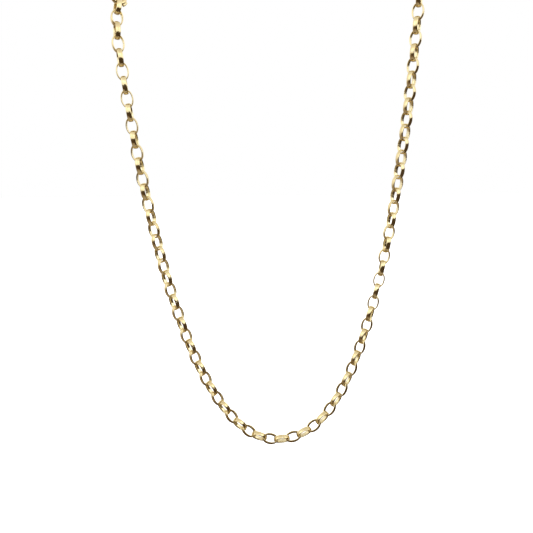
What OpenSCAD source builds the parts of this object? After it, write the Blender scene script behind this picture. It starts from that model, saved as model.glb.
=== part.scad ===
// Oval rolo chain necklace, worn round the neck and hanging in front.
// X runs to the viewer's right, Y runs from the viewer to the nape, Z is up.
// The origin is the back of the neck, where the chain rests.
// All lengths are in millimetres and all angles in degrees.

/* [Link] */

// Outer length of one oval link
link_length = 5.9; // [5.6:0.1:7]
// Outer width of one oval link
link_width = 4.2; // [4:0.1:6]
// Fullness of the oval, where 2 is an ellipse and more is squarer
link_fullness = 2.6; // [2.3:0.1:3.2]
// Width of the half-round band that a link is bent from
band_width = 1.5; // [1:0.05:1.6]
// Thickness of the band at its crown
band_thickness = 0.5; // [0.4:0.05:0.7]
// Thickness of the band at its two edges
band_edge = 0.22; // [0.12:0.01:0.3]
// Rounding of the band's inner face, taken off at each edge
band_taper = 0.3; // [0.2:0.01:0.4]
// Play of a link on the next one, along the chain
link_play = 0.4; // [0.35:0.05:0.9]
// Flat steps round one link
link_steps = 16; // [10:2:16]

/* [Clasp] */

// Outer diameter of the bolt ring
ring_diameter = 5.8; // [5.4:0.1:9]
// Thickness of the ring's round tube
ring_tube = 1.5; // [1:0.1:1.8]
// Bore of the closed eye that is soldered on the ring
eye_bore = 2.6; // [2.4:0.1:4]
// Thickness of the eye's wire
eye_wire = 0.9; // [0.6:0.1:1.5]
// Depth to which the eye is soldered into the ring
eye_seat = 0.5; // [0.2:0.05:0.8]
// Play between the clasp and the link on either side of it
clasp_play = 0.35; // [0.3:0.05:0.6]
// Length of the thumb piece along the ring's rim
thumb_length = 1.8; // [1:0.1:3]
// Distance that the thumb piece stands out from the ring
thumb_height = 0.5; // [0.3:0.1:1.5]
// Width of the thumb piece across the rim
thumb_width = 0.9; // [0.5:0.1:1.4]
// Angle round the ring from its inner side down to the thumb piece
thumb_angle = 35; // [0:5:60]

/* [Hidden] */

$fn = 48;

// Control points of the chain's route, a closed smooth curve.
// It starts at the clasp, goes down and up the front, and back round the neck.
route = [
    [-50.5, -54.0, -46.5],
    [-49.0, -56.0, -58.5],
    [-45.0, -56.5, -87.5],
    [-41.0, -56.0, -110.5],
    [-36.5, -56.0, -132.0],
    [-30.5, -56.0, -153.5],
    [-21.5, -56.0, -177.0],
    [-5.0, -57.5, -199.0],
    [18.0, -55.5, -197.5],
    [31.0, -55.0, -177.5],
    [38.5, -55.0, -154.0],
    [43.5, -55.5, -130.5],
    [46.5, -56.5, -108.5],
    [49.0, -57.0, -85.5],
    [51.0, -58.0, -59.5],
    [52.5, -57.0, -32.0],
    [56.0, -50.0, -11.5],
    [51.0, -28.5, -2.5],
    [32.0, -7.0, 0.5],
    [11.5, 0.5, -0.5],
    [-13.0, 0.5, 0.0],
    [-34.5, -8.0, 0.5],
    [-50.5, -25.5, -6.0],
    [-48.0, -41.5, -22.5]
];

// Place of the ring's centre, as a length along the route
ring_at = -7.2;
// Length along the route at which the front chain ends
front_end = 350;

// How far the links of the front have turned round the route.
// Columns: percent of the way from the first link to front_end, degrees.
front_roll = [
    [0, -28], [4, -15], [8, 1], [12, 11], [16, 20], [20, 29], [24, 45], [28, 56],
    [32, 58], [40, 52], [46, 46], [52, 37], [58, 40], [62, 44], [66, 50], [70, 67],
    [74, 88], [78, 103], [84, 115], [90, 128], [96, 140], [100, 152]
];

function unit(v) = v / norm(v);

// The part of v that is square to the unit vector t, at length 1
function square_to(v, t) = unit(v - (v * t) * t);

// A point of the route, where u counts control points
function spline(u) =
    let (
        k = floor(u),
        f = u - k,
        n = len(route),
        before = (1 - f)^3,
        here = 3 * f^3 - 6 * f^2 + 4,
        next = -3 * f^3 + 3 * f^2 + 3 * f + 1,
        after = f^3
    )
    (before * route[(k + n - 1) % n] + here * route[k % n]
        + next * route[(k + 1) % n] + after * route[(k + 2) % n]) / 6;

// Length along the route beside the spline's own count, for lookup()
samples = 40;
trace = [for (j = [0 : samples * len(route)]) spline(j / samples)];
lengths = [
    for (
        j = 0, s = 0;
        j < len(trace);
        s = s + (j + 1 < len(trace) ? norm(trace[j + 1] - trace[j]) : 0), j = j + 1
    ) [s, j / samples]
];
route_length = lengths[len(lengths) - 1][0];

function at(s) = spline(lookup((s + route_length) % route_length, lengths));

function heading(s) = unit(at(s + link_length / 4) - at(s - link_length / 4));

// Half axes of the link's opening
hole_long = link_length / 2 - band_thickness;
hole_short = link_width / 2 - band_thickness;

// Places of the clasp's eye and of the links on both sides of the clasp
ring_hole = ring_diameter / 2 - ring_tube;
eye_reach = ring_diameter / 2 + eye_bore / 2 + eye_wire - eye_seat;
first_link = ring_at + ring_hole + hole_long - clasp_play;
last_link = ring_at - eye_reach - eye_bore / 2 - hole_long + clasp_play + route_length;

// Equal steps from the first link to the last, about as long as the play lets them be
pitch = 2 * hole_long - link_play;
steps = round((last_link - first_link) / pitch);
spacing = (last_link - first_link) / steps;
links = steps + 1;
front_links = ceil((front_end - first_link) / spacing);

places = [for (i = [0 : steps]) first_link + i * spacing];
headings = [for (s = places) heading(s)];

// A side direction that is carried along the route without turning about it
sides = [
    for (
        i = 0, n = square_to([0, -1, 0], headings[0]);
        i < links;
        i = i + 1, n = square_to(n, headings[min(i, steps)])
    ) n
];

// Turn of the last link about the route that lines it up with the clasp again
start_roll = front_roll[0][1];
home = square_to(sides[0], headings[steps]);
drift = atan2(cross(sides[steps], home) * headings[steps], sides[steps] * home);
end_roll = start_roll + 180 - 90 * (steps % 2) + drift;

// The back chain turns evenly from the front's last angle to the clasp's
front_turn = front_roll[len(front_roll) - 1][1];
function roll(i) =
    let (share = (places[i] - first_link) / (front_end - first_link))
    share < 1
        ? lookup(100 * share, front_roll)
        : front_turn + (end_roll - front_turn) * (places[i] - front_end) / (last_link - front_end);

// Direction of a link's width, turned by an angle about its heading
function wide(side, ahead, turn) = cos(turn) * cross(side, ahead) + sin(turn) * side;

// Half-round section of the band: outward from its inner face, and across it
section = [
    [0, band_taper - band_width / 2],
    [0, band_width / 2 - band_taper],
    [band_edge, band_width / 2],
    [band_thickness, 0],
    [band_edge, -band_width / 2]
];

// A share of the oval's half axis, where the oval may be fuller than an ellipse
function full(share) = sign(share) * pow(abs(share), 2 / link_fullness);

// Angle of a step round the link, with a flat step at each of its two tight ends
function step_angle(k) = 360 * (k + 0.5) / link_steps;

// Points of one link, ring by ring of the section round the oval
function link_points(i) =
    let (
        centre = at(places[i]),
        ahead = headings[i],
        across = wide(sides[i], ahead, roll(i) + 90 * ((i + 1) % 2)),
        axis = cross(ahead, across)
    )
    [
        for (k = [0 : link_steps - 1])
            for (p = section)
                centre
                    + (hole_long + p[0]) * full(cos(step_angle(k))) * ahead
                    + (hole_short + p[0]) * full(sin(step_angle(k))) * across
                    + p[1] * axis
    ];

// Faces of the link whose points come after the first ones of the list
function link_faces(first) =
    let (corners = len(section), total = link_steps * corners)
    [
        for (k = [0 : link_steps - 1])
            for (c = [0 : corners - 1])
                let (
                    a = k * corners + c,
                    b = k * corners + (c + 1) % corners,
                    d = (a + corners) % total,
                    e = (b + corners) % total
                )
                each [
                    [first + a, first + b, first + e],
                    [first + a, first + e, first + d]
                ]
    ];

// A run of interlocked links that touch nowhere
module chain(from, to) {
    size = link_steps * len(section);
    polyhedron(
        points = [for (i = [from : to]) each link_points(i)],
        faces = [for (i = [from : to]) each link_faces((i - from) * size)],
        convexity = 10
    );
}

module front_chain() {
    color("gold") chain(0, front_links - 1);
}

module back_chain() {
    color("gold") chain(front_links, steps);
}

// A closed round ring of wire, flat on the XY plane
module wire_ring(inner, wire) {
    rotate_extrude()
        translate([inner + wire / 2, 0])
            circle(d = wire);
}

// The bolt ring with its eye, lined up from the first link to the last one
module clasp() {
    from = at(first_link);
    up = unit(at(last_link) - from);
    side = square_to(sides[0], -up);
    across = wide(side, -up, start_roll);
    axis = cross(across, up);
    middle = from + (ring_hole + hole_long - clasp_play) * up;
    frame = [
        for (r = [0 : 2]) [across[r], up[r], axis[r], middle[r]]
    ];
    rim = ring_diameter / 2;
    thumb_sweep = thumb_length / rim * 180 / PI;
    color("gold")
        multmatrix(frame) {
            wire_ring(ring_hole, ring_tube);
            translate([0, eye_reach, 0])
                wire_ring(eye_bore / 2, eye_wire);
            rotate(-thumb_angle - thumb_sweep / 2)
                rotate_extrude(angle = thumb_sweep)
                    translate([rim - ring_tube / 2, -thumb_width / 2])
                        square([ring_tube / 2 + thumb_height, thumb_width]);
        }
}

front_chain();
back_chain();
clasp();
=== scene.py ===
import math
import random

import bmesh
import bpy
import numpy as np
from mathutils import Matrix, Vector


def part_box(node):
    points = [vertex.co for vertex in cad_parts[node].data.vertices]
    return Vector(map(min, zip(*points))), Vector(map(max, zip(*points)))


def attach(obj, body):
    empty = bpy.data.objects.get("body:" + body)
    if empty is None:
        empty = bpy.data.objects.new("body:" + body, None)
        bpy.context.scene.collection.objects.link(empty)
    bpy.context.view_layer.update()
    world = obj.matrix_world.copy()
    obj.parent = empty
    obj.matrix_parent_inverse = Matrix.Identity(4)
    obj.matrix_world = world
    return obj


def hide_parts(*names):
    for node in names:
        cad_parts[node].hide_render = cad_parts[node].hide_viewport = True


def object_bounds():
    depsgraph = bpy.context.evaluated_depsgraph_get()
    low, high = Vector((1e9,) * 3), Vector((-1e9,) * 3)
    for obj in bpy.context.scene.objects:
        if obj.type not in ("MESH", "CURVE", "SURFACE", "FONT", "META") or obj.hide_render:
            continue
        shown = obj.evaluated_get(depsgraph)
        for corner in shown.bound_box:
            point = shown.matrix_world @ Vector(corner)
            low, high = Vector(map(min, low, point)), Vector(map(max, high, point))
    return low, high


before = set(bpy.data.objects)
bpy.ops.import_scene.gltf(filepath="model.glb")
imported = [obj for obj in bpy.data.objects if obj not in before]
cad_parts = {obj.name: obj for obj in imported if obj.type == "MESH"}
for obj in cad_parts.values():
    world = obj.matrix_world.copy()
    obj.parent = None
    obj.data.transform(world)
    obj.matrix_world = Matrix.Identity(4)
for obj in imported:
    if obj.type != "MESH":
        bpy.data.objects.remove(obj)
cadBox = [list(corner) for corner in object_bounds()]
print("chain and clasp loaded from the CAD frame")

mm = 0.001
weld = 0.001   # mm, points nearer to each other than this become one

# Camera

view = {
    "place": (-21.35, -266.18, -90.08),  # mm, in the chain's frame
    "downDeg": 10.7,
    "rightDeg": 5.8,
    "lens": 40.0,
    "sensor": 36.0,
    "near": 10,     # mm, nothing nearer to the camera is drawn
}


def addCamera():
    camera = bpy.data.objects.new("photoCamera", bpy.data.cameras.new("photoCamera"))
    camera.data.lens = view["lens"]
    camera.data.sensor_width = view["sensor"]
    camera.data.clip_start = view["near"] * mm
    camera.location = Vector(view["place"]) * mm
    camera.rotation_euler = (
        math.radians(90 - view["downDeg"]), 0, math.radians(-view["rightDeg"]))
    bpy.context.scene.collection.objects.link(camera)
    bpy.context.scene.camera = camera


# Lights, room and floor

studio = {
    "floorDrop": 120,      # mm below the lowest link
    "floorSize": 6000,
    "floorWhite": 0.9,
    "floorRough": 0.9,
    "floorGlow": 0.9,
    "backdrop": 1.0,       # what the camera sees behind the chain
    "target": (0, -56, -100),   # mm, what the panels point at
    # name: place mm, width mm, height mm, brightness, colour
    "panels": {
        "frontBox": ((-40, -720, 420), 620, 240, 0.45, (1.0, 1.0, 0.97)),
        "leftBox": ((-700, -420, 330), 360, 480, 0.35, (1.0, 1.0, 0.98)),
        "rightBox": ((700, -420, 330), 360, 480, 0.45, (1.0, 1.0, 0.98)),
    },
    # name: middle mm, width mm, height mm, tilt and turn in degrees, colour
    "cards": {
        "frontCard": ((150, -500, -340), 500, 720, 90, 0, (0.060, 0.040, 0.023)),
        "leftCard": ((-350, -500, -220), 500, 340, 90, 0, (0.075, 0.048, 0.027)),
        "rightCard": ((400, -160, -330), 680, 600, 90, 90, (0.07, 0.046, 0.028)),
        "lowCard": ((5, -10, -226), 130, 150, 0, 0, (0.12, 0.082, 0.047)),
    },
}

room = {
    # height of a direction, from -1 straight down to 1 straight up, and what shines there
    "front": [
        (-1.00, (0.44, 0.38, 0.31)),
        (-0.75, (0.38, 0.32, 0.25)),
        (-0.42, (0.16, 0.105, 0.062)),
        (-0.17, (0.070, 0.043, 0.024)),
        (-0.02, (0.30, 0.25, 0.19)),
        (0.08, (0.92, 0.91, 0.88)),
        (0.30, (1.19, 1.20, 1.16)),
        (0.62, (1.15, 1.16, 1.12)),
        (0.90, (0.86, 0.84, 0.80)),
        (1.00, (0.74, 0.72, 0.68)),
    ],
    "back": [
        (-1.00, (0.44, 0.38, 0.31)),
        (-0.60, (0.30, 0.24, 0.18)),
        (-0.26, (0.42, 0.36, 0.29)),
        (0.00, (0.88, 0.86, 0.82)),
        (0.34, (1.02, 1.02, 1.00)),
        (1.00, (0.74, 0.72, 0.68)),
    ],
    "turn": (-0.30, 0.40),   # the Y of a direction, from the last of the front to the full back
    "strength": 1.0,
}


def addPanel(name, place, width, height, brightness, colour):
    light = bpy.data.lights.new(name, "AREA")
    light.shape = "RECTANGLE"
    light.size = width * mm
    light.size_y = height * mm
    light.color = colour
    light.energy = brightness * math.pi * light.size * light.size_y  # a radiance, in watts
    panel = bpy.data.objects.new(name, light)
    panel.location = Vector(place) * mm
    aim = Vector(studio["target"]) * mm - panel.location
    panel.rotation_euler = aim.to_track_quat("-Z", "Y").to_euler()
    panel.visible_camera = False
    bpy.context.scene.collection.objects.link(panel)


def addObject(name, bm, mat):
    mesh = bpy.data.meshes.new(name)
    bm.to_mesh(mesh)
    bm.free()
    mesh.materials.append(mat)
    thing = bpy.data.objects.new(name, mesh)
    bpy.context.scene.collection.objects.link(thing)
    return thing


def glowingPaper(name, white, glow, strength):
    mat = bpy.data.materials.new(name)
    mat.use_nodes = True
    shader = mat.node_tree.nodes["Principled BSDF"]
    shader.inputs["Base Color"].default_value = (white, white, white, 1)
    shader.inputs["Emission Color"].default_value = (*glow, 1)
    shader.inputs["Emission Strength"].default_value = strength
    return mat, shader


def addCard(name, middle, width, height, tilt, turn, colour):
    bm = bmesh.new()
    bmesh.ops.create_grid(bm, x_segments=1, y_segments=1, size=mm / 2)
    bmesh.ops.scale(bm, verts=bm.verts, vec=(width, height, 1))
    for angle, axis in ((tilt, "X"), (turn, "Z")):
        bmesh.ops.rotate(bm, verts=bm.verts, matrix=Matrix.Rotation(math.radians(angle), 3, axis))
    bmesh.ops.translate(bm, verts=bm.verts, vec=Vector(middle) * mm)
    mat, shader = glowingPaper(name, 0, colour, 1)
    shader.inputs["Specular IOR Level"].default_value = 0
    card = addObject(name, bm, mat)
    card.visible_camera = card.visible_diffuse = card.visible_shadow = False


def addFloor():
    bm = bmesh.new()
    bmesh.ops.create_grid(bm, x_segments=1, y_segments=1, size=studio["floorSize"] * mm / 2)
    drop = cadBox[0][2] - studio["floorDrop"] * mm
    bmesh.ops.translate(bm, verts=bm.verts, vec=(0, 0, drop))
    mat, shader = glowingPaper("palePaper", studio["floorWhite"], (1, 1, 1), studio["floorGlow"])
    shader.inputs["Roughness"].default_value = studio["floorRough"]
    floor = addObject("floor", bm, mat)
    floor.visible_glossy = False


# Small helpers for node trees

def smoothStep(tree, value, start, end):
    step = tree.nodes.new("ShaderNodeMapRange")
    step.interpolation_type = "SMOOTHSTEP"
    step.inputs["From Min"].default_value = start
    step.inputs["From Max"].default_value = end
    tree.links.new(value, step.inputs["Value"])
    return step.outputs["Result"]


def mathStep(tree, operation, *values):
    step = tree.nodes.new("ShaderNodeMath")
    step.operation = operation
    for socket, value in zip(step.inputs, values):
        if isinstance(value, (int, float)):
            socket.default_value = value
        else:
            tree.links.new(value, socket)
    return step.outputs["Value"]


def blend(tree, share, first, second):
    mix = tree.nodes.new("ShaderNodeMix")
    mix.data_type = "RGBA"
    tree.links.new(share, mix.inputs[0])
    for socket, colour in ((mix.inputs[6], first), (mix.inputs[7], second)):   # the two colours
        if isinstance(colour, tuple):
            socket.default_value = (*colour, 1)
        else:
            tree.links.new(colour, socket)
    return mix.outputs[2]


def colourRamp(tree, value, stops):
    ramp = tree.nodes.new("ShaderNodeValToRGB")
    while len(ramp.color_ramp.elements) < len(stops):
        ramp.color_ramp.elements.new(0.5)   # moved to its stop below
    for element, (at, colour) in zip(ramp.color_ramp.elements, stops):
        element.position = at
        element.color = (*colour, 1)
    tree.links.new(value, ramp.inputs["Fac"])
    return ramp.outputs["Color"]


def addRoom():
    world = bpy.data.worlds.new("studio")
    bpy.context.scene.world = world
    world.use_nodes = True
    tree = world.node_tree
    nodes, links = tree.nodes, tree.links
    nodes.clear()
    coord = nodes.new("ShaderNodeTexCoord")
    split = nodes.new("ShaderNodeSeparateXYZ")
    links.new(coord.outputs["Generated"], split.inputs["Vector"])
    lift = mathStep(tree, "MULTIPLY_ADD", split.outputs["Z"], 0.5, 0.5)   # -1 to 1 as 0 to 1
    front, back = (
        colourRamp(tree, lift, [((height + 1) / 2, colour) for height, colour in room[part]])
        for part in ("front", "back"))
    glow = blend(tree, smoothStep(tree, split.outputs["Y"], *room["turn"]), front, back)
    around = nodes.new("ShaderNodeBackground")
    links.new(glow, around.inputs["Color"])
    around.inputs["Strength"].default_value = room["strength"]
    seen = nodes.new("ShaderNodeBackground")
    seen.inputs["Color"].default_value = (1, 1, 1, 1)
    seen.inputs["Strength"].default_value = studio["backdrop"]
    ray = nodes.new("ShaderNodeLightPath")
    choice = nodes.new("ShaderNodeMixShader")
    output = nodes.new("ShaderNodeOutputWorld")
    links.new(ray.outputs["Is Camera Ray"], choice.inputs["Fac"])
    links.new(around.outputs["Background"], choice.inputs[1])
    links.new(seen.outputs["Background"], choice.inputs[2])
    links.new(choice.outputs["Shader"], output.inputs["Surface"])


bpy.context.scene.view_settings.view_transform = "Standard"
addCamera()
addFloor()
addRoom()
for name, facts in studio["panels"].items():
    addPanel(name, *facts)
for name, facts in studio["cards"].items():
    addCard(name, *facts)
print("camera, lights and floor are in place")


# Gold

gold = {
    "light": (0.95, 0.82, 0.50),
    "deep": (0.88, 0.71, 0.39),
    "waveShare": 0.5,        # how far the waves pull the colour from light to deep
    "toneShare": 0.6,        # how far a link's own tone does
    "polish": 0.06,          # roughness where the polish is clean
    "claspPolish": 0.09,
    "worn": 0.24,            # roughness inside a scuff
    "scratchDepth": 0.004,   # mm
    "waveDepth": 0.030,
    "inside": (0.95, 0.86, 0.60),   # the inner faces, which are coloured paler
    "insideShare": 0.6,
    "insideRough": 0.06,
    "solder": (0.97, 0.90, 0.68),
    "solderHalf": 0.05,      # mm, half the width of the joint across the band
    "solderDepth": 0.02,
}

wear = {
    # noise scale, detail and stretch
    "hairlines": (5, 3, (1, 1, 9)),   # they run along the band
    "patches": (0.9, 2),
    "waves": (0.8, 2),
    # from what noise value a mark starts, and where it is whole
    "hairlineEdges": (0.55, 0.72),
    "patchEdges": (0.45, 0.68),
    "patchShare": 0.35,      # how worn a patch is between its hairlines
}


def polishGroup():
    group = bpy.data.node_groups.new("polishMarks", "ShaderNodeTree")
    group.interface.new_socket("Place", in_out="INPUT", socket_type="NodeSocketVector")
    for label in ("Scuff", "Scratches", "Waves"):
        group.interface.new_socket(label, in_out="OUTPUT", socket_type="NodeSocketFloat")
    start = group.nodes.new("NodeGroupInput")
    end = group.nodes.new("NodeGroupOutput")

    def noise(scale, detail, stretch=(1, 1, 1)):
        place = group.nodes.new("ShaderNodeMapping")
        place.inputs["Scale"].default_value = stretch
        group.links.new(start.outputs["Place"], place.inputs["Vector"])
        texture = group.nodes.new("ShaderNodeTexNoise")
        texture.inputs["Scale"].default_value = scale
        texture.inputs["Detail"].default_value = detail
        group.links.new(place.outputs["Vector"], texture.inputs["Vector"])
        return texture.outputs["Fac"]

    hairlines = smoothStep(group, noise(*wear["hairlines"]), *wear["hairlineEdges"])
    patches = smoothStep(group, noise(*wear["patches"]), *wear["patchEdges"])
    between = mathStep(group, "MULTIPLY", patches, wear["patchShare"])
    scuff = mathStep(group, "MULTIPLY_ADD", hairlines, patches, between)
    group.links.new(scuff, end.inputs["Scuff"])
    group.links.new(hairlines, end.inputs["Scratches"])
    group.links.new(noise(*wear["waves"]), end.inputs["Waves"])
    return group


def bump(tree, height, depth, normal=None):
    node = tree.nodes.new("ShaderNodeBump")
    node.inputs["Strength"].default_value = 1
    node.inputs["Distance"].default_value = depth * mm
    tree.links.new(height, node.inputs["Height"])
    if normal:
        tree.links.new(normal, node.inputs["Normal"])
    return node.outputs["Normal"]


def attribute(tree, name):
    node = tree.nodes.new("ShaderNodeAttribute")
    node.attribute_name = name
    return node


def goldMaterial(name, polish, marks):
    mat = bpy.data.materials.new(name)
    mat.use_nodes = True
    tree = mat.node_tree
    shader = tree.nodes["Principled BSDF"]
    shader.inputs["Metallic"].default_value = 1
    grain, tone = attribute(tree, "grain"), attribute(tree, "tone")
    group = tree.nodes.new("ShaderNodeGroup")
    group.node_tree = marks
    tree.links.new(grain.outputs["Vector"], group.inputs["Place"])
    share = mathStep(
        tree, "MULTIPLY_ADD", group.outputs["Waves"], gold["waveShare"],
        mathStep(tree, "MULTIPLY", tone.outputs["Fac"], gold["toneShare"]))
    colour = blend(tree, share, gold["light"], gold["deep"])
    inside = attribute(tree, "inside").outputs["Fac"]
    colour = blend(
        tree, mathStep(tree, "MULTIPLY", inside, gold["insideShare"]), colour, gold["inside"])
    # whole within its half width, gone at twice that
    joint = smoothStep(
        tree, attribute(tree, "fromJoint").outputs["Fac"], 2 * gold["solderHalf"],
        gold["solderHalf"])
    tree.links.new(blend(tree, joint, colour, gold["solder"]), shader.inputs["Base Color"])
    rough = mathStep(
        tree, "MULTIPLY_ADD", group.outputs["Scuff"], gold["worn"] - polish, polish)
    tree.links.new(
        mathStep(tree, "MULTIPLY_ADD", inside, gold["insideRough"], rough),
        shader.inputs["Roughness"])
    waves = bump(tree, group.outputs["Waves"], gold["waveDepth"])
    scratched = bump(tree, group.outputs["Scratches"], gold["scratchDepth"], waves)
    tree.links.new(bump(tree, joint, gold["solderDepth"], scratched), shader.inputs["Normal"])
    return mat


polishMarks = polishGroup()
chainGold = goldMaterial("chainGold", gold["polish"], polishMarks)
claspGold = goldMaterial("claspGold", gold["claspPolish"], polishMarks)


# Shared by the pieces

def addGrain(bm, offset, tone):
    place = bm.verts.layers.float_vector["grain"]
    shade = bm.verts.layers.float["tone"]
    for v in bm.verts:
        v[place] = v.co + Vector(offset)
        v[shade] = tone


def openMesh():
    bm = bmesh.new()
    bm.verts.layers.float_vector.new("grain")
    bm.verts.layers.float.new("tone")
    bm.verts.layers.float.new("inside")      # 1 on the inner face of a link
    bm.verts.layers.float.new("fromJoint")   # mm from the soldered joint
    return bm


def addPart(whole, bm, place):
    bmesh.ops.transform(bm, matrix=place, verts=bm.verts)
    part = bpy.data.meshes.new("part")
    bm.to_mesh(part)
    bm.free()
    whole.from_mesh(part)
    bpy.data.meshes.remove(part)


def finishPiece(bm, name, node, mat):
    piece = addObject(name, bm, mat)
    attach(piece, "root")
    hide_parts(node)


def mainAxes(points):
    # its columns go from the direction of the least spread to that of the most
    return np.linalg.eigh(np.cov((points - points.mean(0)).T))[1]


# Links, in mm with their length along X and the band's width along Z

link = {
    "length": 6.2,
    "width": 4.25,
    "bandWidth": 1.65,
    "bandThickness": 0.54,
    "edgeDepth": 0.31,       # how far out the band is widest
    "innerFullness": 2.6,    # of the inner face, where 2 is round and more is flatter
    "stepsRound": 60,
    "stepsAcross": 20,
    "cadWeld": 0.01,         # mm, how near the CAD link's loose triangles are joined
}


def linkMesh():
    holeLong = link["length"] / 2 - link["bandThickness"]
    holeShort = link["width"] / 2 - link["bandThickness"]
    edge = link["edgeDepth"]
    crown = link["bandThickness"] - edge
    power = link["innerFullness"]
    bm = openMesh()
    bmesh.ops.create_circle(bm, segments=link["stepsAcross"], radius=1)
    for v in bm.verts:       # a rounded crown outside, a nearly flat face inside
        out, across = v.co.x, v.co.y
        if out > 0:
            depth = edge + crown * out
        else:
            depth = edge * (1 - (1 - min(1, abs(across)) ** power) ** (1 / power))
        v.co = (holeShort + depth, 0, across * link["bandWidth"] / 2)
    bmesh.ops.spin(
        bm, geom=bm.verts[:] + bm.edges[:], cent=(0, 0, 0), axis=(0, 0, 1), dvec=(0, 0, 0),
        angle=2 * math.pi, steps=link["stepsRound"], use_merge=True)
    inside, fromJoint = bm.verts.layers.float["inside"], bm.verts.layers.float["fromJoint"]
    for v in bm.verts:       # from the round ring to the oval
        reach = math.hypot(v.co.x, v.co.y)
        depth = reach - holeShort
        along, aside = v.co.x / reach, v.co.y / reach
        v.co.x = (holeLong + depth) * along
        v.co.y = (holeShort + depth) * aside
        v[inside] = 1 if depth < edge / 2 else 0
        v[fromJoint] = abs(v.co.x) if aside > 0 else link["length"]   # joined on one side
    bmesh.ops.remove_doubles(bm, verts=bm.verts, dist=weld)
    bmesh.ops.recalc_face_normals(bm, faces=bm.faces)
    for f in bm.faces:
        f.smooth = True
    return bm


def linkPlaces(node):
    bm = bmesh.new()
    bm.from_mesh(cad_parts[node].data)
    bmesh.ops.remove_doubles(bm, verts=bm.verts, dist=link["cadWeld"] * mm)
    places = []
    left = set(bm.verts)
    for start in bm.verts:
        if start not in left:
            continue
        island = []
        todo = [start]
        left.discard(start)
        while todo:
            v = todo.pop()
            island.append(v.co[:])
            for e in v.link_edges:
                other = e.other_vert(v)
                if other in left:
                    left.discard(other)
                    todo.append(other)
        points = np.array(island)
        axes = mainAxes(points)
        places.append((Vector(points.mean(0)), Vector(axes[:, 2]), Vector(axes[:, 1])))
    bm.free()
    return places


def chainPiece(name, node, places):
    chain = openMesh()
    for centre, long, wide in places:
        bm = linkMesh()
        addGrain(bm, [dice.uniform(0, grainSpread) for axis in "xyz"], dice.random())
        turn = Matrix((long, wide, long.cross(wide))).transposed().to_4x4()
        addPart(chain, bm, Matrix.Translation(centre) @ turn @ Matrix.Scale(mm, 4))
    finishPiece(chain, name, node, chainGold)


dice = random.Random(12)
grainSpread = 90   # mm, so that no two parts show the same marks
frontPlaces = linkPlaces("front_chain")
backPlaces = linkPlaces("back_chain")
chainPiece("frontLinks", "front_chain", frontPlaces)
chainPiece("backLinks", "back_chain", backPlaces)
print(len(frontPlaces) + len(backPlaces), "links in place")


# Clasp, a bolt ring in mm with its hole along Z and its eye up along Y

clasp = {
    "firstReach": 3.5,       # from the first link's centre to the ring's
    "ring": 2.15,            # from the ring's centre to the middle of its tube
    "tube": 0.75,            # radius of the tube
    "opening": (8, 62),      # degrees, the gap that the tongue closes
    "tongue": 0.40,          # radius of the tongue
    "tongueHidden": 12,      # degrees of it inside the tube, at each end
    "slot": (-92, -12),      # degrees, the slit that the thumb piece slides in
    "slotWidth": 0.4,
    "slotDepth": 0.16,
    "slotWall": 0.02,
    "slotRim": 0.9,          # share of the tube's radius past which the slit may be cut
    "thumb": (-53, -17),     # degrees
    "thumbOut": (2.55, 3.40),   # from the ring's centre to its foot and to its top
    "thumbWidth": 0.9,
    "thumbFullness": 4,      # where 2 is round and more is squarer
    "thumbClear": 0.2,       # how far past the tube a point of the CAD clasp is the thumb piece's
    "rounding": 0.12,        # of a bar's two ends
    "roundingSteps": 4,
    "eyeUp": 4.6,            # from the ring's centre to the eye's
    "eye": 1.75,             # from the eye's centre to the middle of its wire
    "wire": 0.45,            # radius of the wire
    "solder": ((0, 3.0, 0), (0.95, 0.30, 0.44)),   # middle and half sizes
    "solderSteps": 4,
    "stepDegrees": 5,
    "stepsAcross": 32,
    "sharp": 38,             # degrees, a bend above this is shaded as an edge
}


def bentBar(reach, deep, wide, fullness, start, end):
    bm = openMesh()
    bmesh.ops.create_circle(bm, segments=clasp["stepsAcross"], radius=1)
    for v in bm.verts:
        out, across = (math.copysign(abs(share) ** (2 / fullness), share) for share in v.co.xy)
        v.co = (reach + deep * out, 0, wide * across)
    bmesh.ops.rotate(bm, verts=bm.verts, matrix=Matrix.Rotation(math.radians(start), 3, "Z"))
    closed = end - start == 360
    bmesh.ops.spin(
        bm, geom=bm.verts[:] + bm.edges[:], cent=(0, 0, 0), axis=(0, 0, 1), dvec=(0, 0, 0),
        angle=math.radians(end - start), steps=round((end - start) / clasp["stepDegrees"]),
        use_merge=closed)
    if not closed:
        bmesh.ops.holes_fill(bm, edges=[e for e in bm.edges if e.is_boundary], sides=0)
        rims = [e for f in bm.faces if len(f.verts) > 4 for e in f.edges]   # of the end caps
        bmesh.ops.bevel(
            bm, geom=rims, offset=clasp["rounding"], segments=clasp["roundingSteps"],
            affect="EDGES", profile=0.5, material=-1)
    return bm


def cutSlot(bm):
    low, high = (math.radians(angle) for angle in clasp["slot"])
    rim = clasp["ring"] + clasp["tube"] * clasp["slotRim"]
    faces = []
    for f in bm.faces:
        x, y, z = f.calc_center_median()
        outside = math.hypot(x, y) > rim
        if outside and low < math.atan2(y, x) < high and abs(z) < clasp["slotWidth"] / 2:
            faces.append(f)
    bmesh.ops.inset_region(
        bm, faces=faces, thickness=clasp["slotWall"], depth=-clasp["slotDepth"],
        use_even_offset=True)


def tidyPart(bm):
    bmesh.ops.remove_doubles(bm, verts=bm.verts, dist=weld)
    bmesh.ops.recalc_face_normals(bm, faces=bm.faces)
    for f in bm.faces:
        f.smooth = True
    for e in bm.edges:
        e.smooth = e.calc_face_angle(0) < math.radians(clasp["sharp"])


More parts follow.
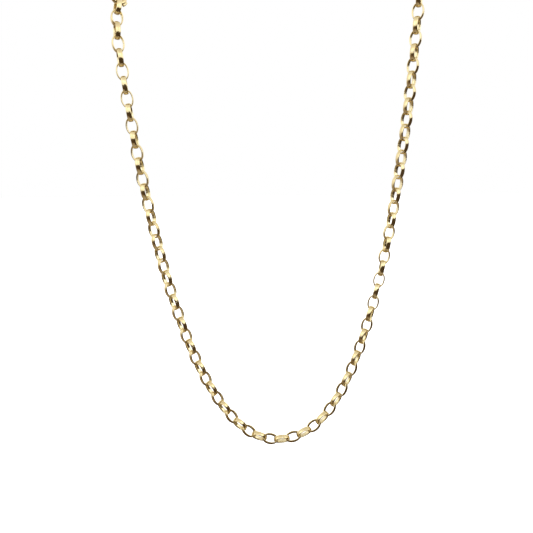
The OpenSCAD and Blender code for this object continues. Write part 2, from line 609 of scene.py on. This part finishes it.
def claspParts():
    openFrom, openTo = clasp["opening"]
    hidden = clasp["tongueHidden"]
    out, tip = clasp["thumbOut"]
    tube = bentBar(clasp["ring"], clasp["tube"], clasp["tube"], 2, openTo - 360, openFrom)
    cutSlot(tube)
    tongue = bentBar(
        clasp["ring"], clasp["tongue"], clasp["tongue"], 2, openFrom - hidden, openTo + hidden)
    thumb = bentBar(
        (out + tip) / 2, (tip - out) / 2, clasp["thumbWidth"] / 2, clasp["thumbFullness"],
        *clasp["thumb"])
    eye = bentBar(clasp["eye"], clasp["wire"], clasp["wire"], 2, 0, 360)
    bmesh.ops.translate(eye, verts=eye.verts, vec=(0, clasp["eyeUp"], 0))
    solder = openMesh()
    bmesh.ops.create_icosphere(solder, subdivisions=clasp["solderSteps"], radius=1)
    middle, size = clasp["solder"]
    bmesh.ops.scale(solder, verts=solder.verts, vec=size)
    bmesh.ops.translate(solder, verts=solder.verts, vec=middle)
    return tube, tongue, thumb, eye, solder


def claspPlace():
    low, high = (Vector(corner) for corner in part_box("clasp"))
    middle = (low + high) / 2
    first, last = (
        min((place[0] for place in places), key=lambda at: (at - middle).length)
        for places in (frontPlaces, backPlaces))
    up = (last - first).normalized()
    centre = first + up * clasp["firstReach"] * mm
    points = np.array([v.co[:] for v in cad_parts["clasp"].data.vertices])
    axis = Vector(mainAxes(points)[:, 0])
    axis = (axis - axis.dot(up) * up).normalized()
    across = up.cross(axis)
    # below the ring's centre only the thumb piece stands out past the tube
    out = points - np.array(centre)
    rim = (clasp["ring"] + clasp["tube"] + clasp["thumbClear"]) * mm
    thumb = out[(np.linalg.norm(out, axis=1) > rim) & (out @ np.array(up) < 0)]
    if thumb.mean(0) @ np.array(across) < 0:
        across = -across
    return Matrix.Translation(centre) @ Matrix(
        (across, up, across.cross(up))).transposed().to_4x4() @ Matrix.Scale(mm, 4)


boltRing = openMesh()
place = claspPlace()
for bm in claspParts():
    tidyPart(bm)
    addGrain(bm, (dice.uniform(0, 90), 0, 0), dice.random())
    fromJoint = bm.verts.layers.float["fromJoint"]
    for v in bm.verts:
        v[fromJoint] = clasp["ring"]   # no joint line shows on it
    addPart(boltRing, bm, place)
finishPiece(boltRing, "boltRing", "clasp", claspGold)
print("clasp closed")
